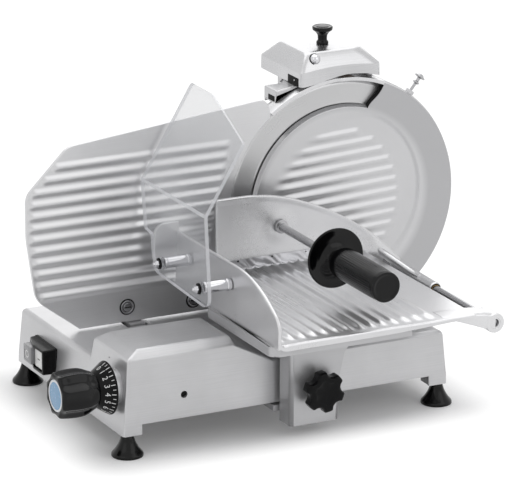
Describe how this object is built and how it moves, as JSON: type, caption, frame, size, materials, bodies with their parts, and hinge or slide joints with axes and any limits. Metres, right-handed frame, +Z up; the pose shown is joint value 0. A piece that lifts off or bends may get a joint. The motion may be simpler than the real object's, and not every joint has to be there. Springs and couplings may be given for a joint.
{
  "type": "meat slicer",
  "caption": "Electric meat slicer: upright round blade, ribbed gauge plate set by a dial, ribbed carriage table with pusher, clear food guard and hooded sharpener.",
  "frame": {"origin": "middle of the bounding box, on the surface that the feet stand on", "axes": "+X to the right along the carriage's travel, +Y from the user's side to the back, +Z up"},
  "size_m": [0.6156, 0.432, 0.423],
  "materials": {
    "badge": "plain disc with a pale rim",
    "bar_steel": "ground steel",
    "belt_rubber": "ribbed belt",
    "black_gloss": "polished moulded",
    "black_plastic": "satin moulded",
    "blade_steel": "hard chromed steel, turned in circles",
    "bright_chrome": "chrome plate",
    "bronze": "sintered bronze",
    "cast_metal": "satin, sand-blasted and lacquered casting",
    "clear_plastic": "clear acrylic sheet",
    "cover_metal": "anodised satin",
    "foot_rubber": "moulded rubber",
    "grey_plastic": "moulded",
    "motor_paint": "black paint",
    "plate_metal": "anodised, brushed along the ribs",
    "stone": "bonded abrasive",
    "table_metal": "polished and anodised casting",
    "white_plastic": "moulded"
  },
  "bodies": {
    "base": {"base_casting": "cast_metal", "foot_front_left": "foot_rubber", "foot_front_right": "foot_rubber", "foot_rear_left": "foot_rubber", "foot_rear_right": "foot_rubber", "switch_shroud": "black_plastic", "switch_block": "black_plastic", "cable_gland": "black_plastic", "dial_bush": "bronze", "gauge_guide_rod": "bar_steel", "carriage_guide_rod": "bar_steel", "carriage_rail": "bar_steel", "blade_head": "cast_metal", "blade_axle": "bar_steel", "head_bolts": "bar_steel", "blade_cover": "cover_metal", "top_guard_strip": "bright_chrome", "motor": "motor_paint", "motor_cover": "cover_metal", "sharpener_bracket": "cast_metal", "drive_belt": "belt_rubber"},
    "blade_rotor": {"blade": "blade_steel", "blade_hub": "bar_steel", "blade_screws": "bar_steel", "blade_bearings": "bar_steel"},
    "motor_rotor": {"motor_pulley": "bar_steel"},
    "dial": {"dial_knob": "black_gloss", "dial_skirt": "black_plastic", "dial_badge": "badge", "dial_spindle": "bar_steel", "thickness_cam": "bar_steel"},
    "gauge": {"gauge_plate": "plate_metal", "gauge_support": "cast_metal", "gauge_pushrod": "bar_steel", "gauge_screws": "bright_chrome"},
    "carriage": {"carriage_arm": "cast_metal", "carriage_block": "cast_metal", "carriage_bushes": "bronze", "slide_shoe": "grey_plastic", "table_support": "table_metal", "meat_table": "table_metal", "pusher_rod": "bright_chrome", "food_guard": "clear_plastic", "guard_spacers": "bright_chrome"},
    "table_lock": {"lock_knob": "black_plastic"},
    "pusher_slider": {"pusher_bushes": "bronze"},
    "pusher": {"pusher_plate": "table_metal", "tooth_strip": "bar_steel", "handle_rod": "bright_chrome", "finger_disc": "black_gloss", "handle_grip": "black_gloss", "grip_end_cap": "black_gloss"},
    "start_key": {"start_button": "white_plastic"},
    "stop_key": {"stop_button": "grey_plastic"},
    "cover_pin": {"cover_clip": "bright_chrome"},
    "sharpener": {"sharpener_hood": "cast_metal"},
    "sharpener_clamp": {"sharpener_knob": "black_gloss"},
    "grinder": {"grinding_stone": "stone"},
    "truer": {"truing_stone": "stone"},
    "truer_button": {"ball_button": "bright_chrome"}
  },
  "joints": [
    {"name": "blade_spin", "type": "hinge", "parent": "base", "child": "blade_rotor", "pos_m": [0.1512, 0.1, 0.21], "axis": [0, 1, 0], "continuous": true},
    {"name": "motor_spin", "type": "hinge", "parent": "base", "child": "motor_rotor", "pos_m": [0.0652, 0.114, 0.145], "axis": [0, 1, 0], "continuous": true},
    {"name": "dial_turn", "type": "hinge", "parent": "base", "child": "dial", "pos_m": [-0.2348, -0.069, 0.079], "axis": [1, 0, 0], "range_deg": [0, 300]},
    {"name": "gauge_slide", "type": "slide", "parent": "base", "child": "gauge", "axis": [0, 1, 0], "range_m": [0, 0.013]},
    {"name": "carriage_slide", "type": "slide", "parent": "base", "child": "carriage", "axis": [1, 0, 0], "range_m": [-0.15, 0.125]},
    {"name": "table_lock_turn", "type": "hinge", "parent": "carriage", "child": "table_lock", "pos_m": [0.0012, -0.134, 0.062], "axis": [0, 1, 0], "range_deg": [-360, 0]},
    {"name": "pusher_slide", "type": "slide", "parent": "carriage", "child": "pusher_slider", "axis": [0, 1, 0], "range_m": [-0.112, 0.02]},
    {"name": "pusher_lift", "type": "hinge", "parent": "pusher_slider", "child": "pusher", "pos_m": [0.2072, 0, 0.1285], "axis": [0, 1, 0], "range_deg": [0, 75]},
    {"name": "start_press", "type": "slide", "parent": "base", "child": "start_key", "axis": [1, 0, 0], "range_m": [0, 0.003], "stiffness_N_per_m": 500, "springref_m": -0.002},
    {"name": "stop_press", "type": "slide", "parent": "base", "child": "stop_key", "axis": [1, 0, 0], "range_m": [0, 0.003], "stiffness_N_per_m": 500, "springref_m": -0.002},
    {"name": "cover_pin_pull", "type": "slide", "parent": "base", "child": "cover_pin", "axis": [0.6334, 0, 0.7738], "range_m": [0, 0.005], "stiffness_N_per_m": 400, "springref_m": -0.002},
    {"name": "sharpener_lift", "type": "slide", "parent": "base", "child": "sharpener", "axis": [0, 0, 1], "range_m": [0, 0.02]},
    {"name": "sharpener_clamp_turn", "type": "hinge", "parent": "sharpener", "child": "sharpener_clamp", "pos_m": [0.1452, 0.134, 0.4], "axis": [0, 0, 1], "range_deg": [0, 360]},
    {"name": "grinder_spin", "type": "hinge", "parent": "sharpener", "child": "grinder", "pos_m": [0.1302, 0.114, 0.378], "axis": [0, 1, 0], "continuous": true},
    {"name": "truer_spin", "type": "hinge", "parent": "sharpener", "child": "truer", "pos_m": [0.1682, 0.114, 0.378], "axis": [0, 1, 0], "continuous": true},
    {"name": "truer_push", "type": "slide", "parent": "sharpener", "child": "truer_button", "axis": [0, 1, 0], "range_m": [0, 0.004], "stiffness_N_per_m": 400, "springref_m": -0.002}
  ],
  "couplings": [
    {"joint": "motor_spin", "follows": "blade_spin", "ratio": 3.125},
    {"joint": "dial_turn", "follows": "gauge_slide", "rad_per_m": 402.76}
  ]
}
